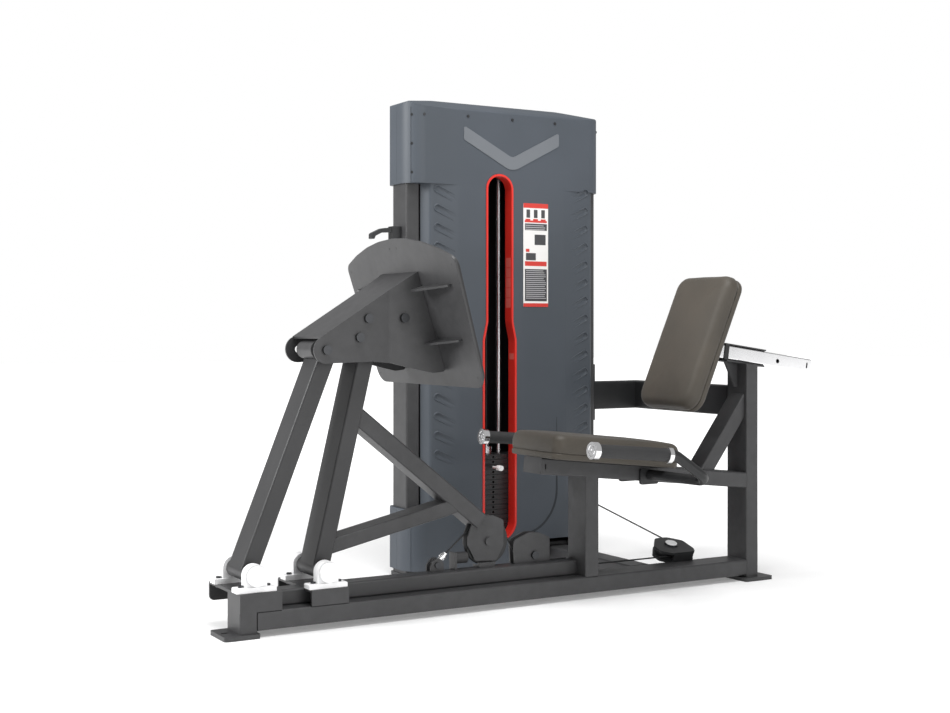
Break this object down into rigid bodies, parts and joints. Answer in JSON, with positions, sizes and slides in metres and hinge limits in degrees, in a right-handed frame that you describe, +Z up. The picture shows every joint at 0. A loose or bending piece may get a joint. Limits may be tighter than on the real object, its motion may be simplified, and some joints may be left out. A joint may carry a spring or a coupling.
{
  "type": "seated leg press with weight-stack tower",
  "caption": "Seated leg press: four-bar linkage carrying a foot plate, tilted seat and sliding backrest, and a shrouded weight-stack tower joined by cable.",
  "frame": {"origin": "on the floor, at the pivot end post's left face, on the main rail's centre plane", "axes": "+X along the main rail towards the seat end, +Y from the user side towards the weight tower, +Z up"},
  "size_m": [2.1092, 1.0069, 1.594],
  "materials": {
    "frame_paint": "satin charcoal powder coat",
    "black_paint": "satin black powder coat",
    "black_plastic": "moulded, fine texture",
    "rubber": "matte black rubber",
    "chrome": "polished chrome",
    "cast_aluminium": "bright cast aluminium",
    "zinc": "dark zinc plated steel",
    "upholstery": "taupe synthetic leather",
    "plywood": "black-backed plywood board",
    "cover_plastic": "slate grey textured shell",
    "chevron_plastic": "lighter grey panel",
    "red_plastic": "red gloss trim",
    "panel": "printed panel without lettering",
    "stack_iron": "black weight plates",
    "cable": "black coated steel cable",
    "steel_rod": "ground steel"
  },
  "bodies": {
    "frame": {"uprights": "frame_paint", "rails": "frame_paint", "pivot_brackets": "frame_paint", "floor_feet": "frame_paint", "seat_beam": "frame_paint", "seat_brace": "frame_paint", "slide_sleeve": "frame_paint", "sleeve_bushes": "black_plastic", "cross_arm": "black_paint", "cross_tubes": "frame_paint", "pillow_blocks": "cast_aluminium", "frame_screws": "zinc", "pivot_shafts": "steel_rod", "pulley_bolts": "zinc", "rail_brackets": "frame_paint", "rubber_buffers": "rubber", "cable_adjuster": "chrome", "seat_pad": "upholstery", "seat_board": "plywood", "handle_tubes": "black_paint", "handle_grips": "rubber", "handle_collars": "chrome", "tower_columns": "frame_paint", "tower_pulley_brackets": "frame_paint", "swivel_bracket": "black_paint", "main_cable": "cable", "arm_cable": "cable", "stack_cable": "cable", "guide_rods": "steel_rod", "resting_plates": "stack_iron", "slot_trim": "red_plastic", "front_shroud": "cover_plastic", "rear_shroud": "cover_plastic", "chevron": "chevron_plastic", "instruction_panel": "panel", "column_hook": "black_paint"},
    "front_link": {"front_link": "frame_paint"},
    "rear_link": {"rear_link": "frame_paint", "arm_tubes": "frame_paint", "arm_pulley_fork": "frame_paint", "arm_cable_wrap": "cable"},
    "carriage": {"carrier": "frame_paint", "carrier_bolts": "zinc", "foot_plate": "frame_paint", "foot_tread": "rubber"},
    "arm_pulley": {"arm_pulley": "black_plastic"},
    "base_pulley": {"base_pulley": "black_plastic"},
    "swivel_pulley": {"swivel_pulley": "black_plastic"},
    "lower_tower_pulley": {"lower_tower_pulley": "black_plastic"},
    "head_pulley_left": {"head_pulley_left": "black_plastic"},
    "head_pulley_right": {"head_pulley_right": "black_plastic"},
    "weight_stack": {"lifted_plates": "stack_iron", "selector_rod": "steel_rod"},
    "selector_pin": {"selector_pin": "black_plastic"},
    "backrest": {"back_pad": "upholstery", "back_board": "plywood", "back_bracket": "frame_paint", "slide_tube": "chrome"},
    "clamp_pin": {"clamp_pin": "black_plastic"}
  },
  "joints": [
    {"name": "push_arm", "type": "hinge", "parent": "frame", "child": "rear_link", "pos_m": [0.259, 0.06, 0.156], "axis": [0, -1, 0], "range_deg": [0, 22], "deforming": ["arm_cable"]},
    {"name": "front_link_pivot", "type": "hinge", "parent": "frame", "child": "front_link", "pos_m": [0.049, 0.06, 0.164], "axis": [0, -1, 0], "range_deg": [-1, 27.5]},
    {"name": "carriage_pivot", "type": "hinge", "parent": "rear_link", "child": "carriage", "pos_m": [0.381, 0.06, 0.856], "axis": [0, -1, 0], "range_deg": [-38.5, 1]},
    {"name": "arm_pulley_spin", "type": "hinge", "parent": "rear_link", "child": "arm_pulley", "pos_m": [0.813, 0.045, 0.191], "axis": [0, -1, 0], "range_deg": [-5, 117.5]},
    {"name": "base_pulley_spin", "type": "hinge", "parent": "frame", "child": "base_pulley", "pos_m": [0.978, 0.045, 0.137], "axis": [0, -1, 0], "range_deg": [-431.3, 5]},
    {"name": "swivel_pulley_spin", "type": "hinge", "parent": "frame", "child": "swivel_pulley", "pos_m": [1.546, 0.08891, 0.10132], "axis": [0, -0.2982, 0.9545], "range_deg": [-463, 5]},
    {"name": "lower_tower_pulley_spin", "type": "hinge", "parent": "frame", "child": "lower_tower_pulley", "pos_m": [1.47562, 0.56892, 0.28473], "axis": [0.9713, 0.238, 0], "range_deg": [-664.7, 5]},
    {"name": "head_pulley_left_spin", "type": "hinge", "parent": "frame", "child": "head_pulley_left", "pos_m": [1.191, 0.6, 1.5], "axis": [0, -1, 0], "range_deg": [-463, 5]},
    {"name": "head_pulley_right_spin", "type": "hinge", "parent": "frame", "child": "head_pulley_right", "pos_m": [1.422, 0.6, 1.5], "axis": [0, -1, 0], "range_deg": [-463, 5]},
    {"name": "stack_lift", "type": "slide", "parent": "frame", "child": "weight_stack", "axis": [0, 0, 1], "range_m": [-0.002, 0.372], "deforming": ["stack_cable"]},
    {"name": "selector_pin_pull", "type": "slide", "parent": "weight_stack", "child": "selector_pin", "axis": [0, -1, 0], "range_m": [0, 0.13]},
    {"name": "back_adjust", "type": "slide", "parent": "frame", "child": "backrest", "axis": [-0.9905, 0, 0.1374], "range_m": [0, 0.15]},
    {"name": "clamp_pin_pull", "type": "slide", "parent": "frame", "child": "clamp_pin", "axis": [0, 1, 0], "range_m": [0, 0.012]}
  ],
  "couplings": [
    {"joint": "front_link_pivot", "follows": "push_arm", "ratio": 1.206},
    {"joint": "carriage_pivot", "follows": "push_arm", "ratio": -1.692},
    {"joint": "stack_lift", "follows": "push_arm", "m_per_rad": 0.945},
    {"joint": "arm_pulley_spin", "follows": "push_arm", "ratio": 5.146},
    {"joint": "base_pulley_spin", "follows": "push_arm", "ratio": -19.13},
    {"joint": "swivel_pulley_spin", "follows": "push_arm", "ratio": -20.544},
    {"joint": "lower_tower_pulley_spin", "follows": "push_arm", "ratio": -29.531},
    {"joint": "head_pulley_left_spin", "follows": "push_arm", "ratio": -20.544},
    {"joint": "head_pulley_right_spin", "follows": "push_arm", "ratio": -20.544}
  ]
}
